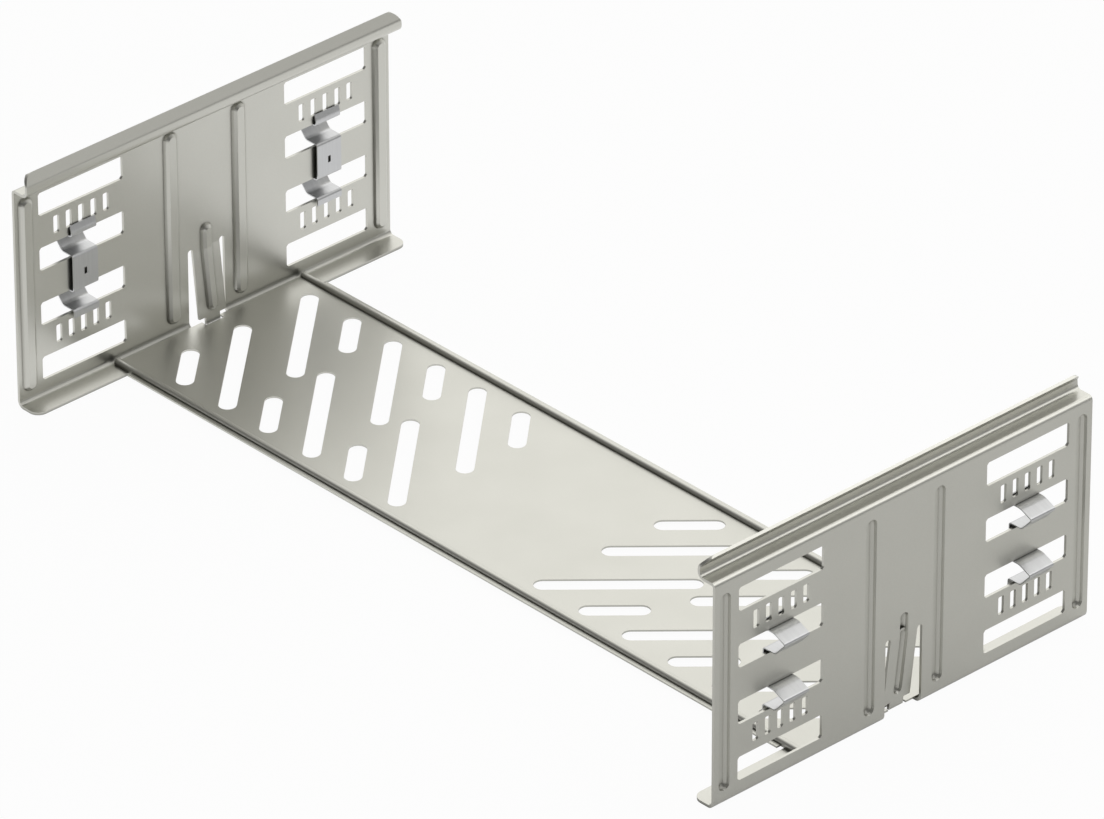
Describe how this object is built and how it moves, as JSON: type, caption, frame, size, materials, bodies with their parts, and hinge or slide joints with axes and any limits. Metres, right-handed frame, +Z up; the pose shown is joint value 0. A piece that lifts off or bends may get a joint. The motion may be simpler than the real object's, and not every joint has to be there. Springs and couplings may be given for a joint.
{
  "type": "cable tray joint with perforated side plates and slotted floor plate",
  "caption": "Cable tray joint: two perforated side plates with outturned lips, a slotted floor plate between them and spring clips hooked through the side slots.",
  "frame": {"origin": "midway between the side plates, at the middle of their length, on the level of their undersides", "axes": "+X across the tray from the left to the right side plate, +Y along the tray away from the viewer of the picture, +Z up"},
  "size_m": [0.421, 0.2, 0.1089],
  "materials": {
    "galvanised_steel": "zinc coated sheet, matt and slightly mottled",
    "spring_steel": "bright spring strip, satin"
  },
  "bodies": {
    "root": {"side_plate_left": "galvanised_steel", "side_plate_right": "galvanised_steel", "floor_plate": "galvanised_steel", "spring_clip_left_near": "spring_steel", "spring_clip_left_far": "spring_steel", "spring_clip_right_near": "spring_steel", "spring_clip_right_far": "spring_steel"}
  },
  "joints": []
}
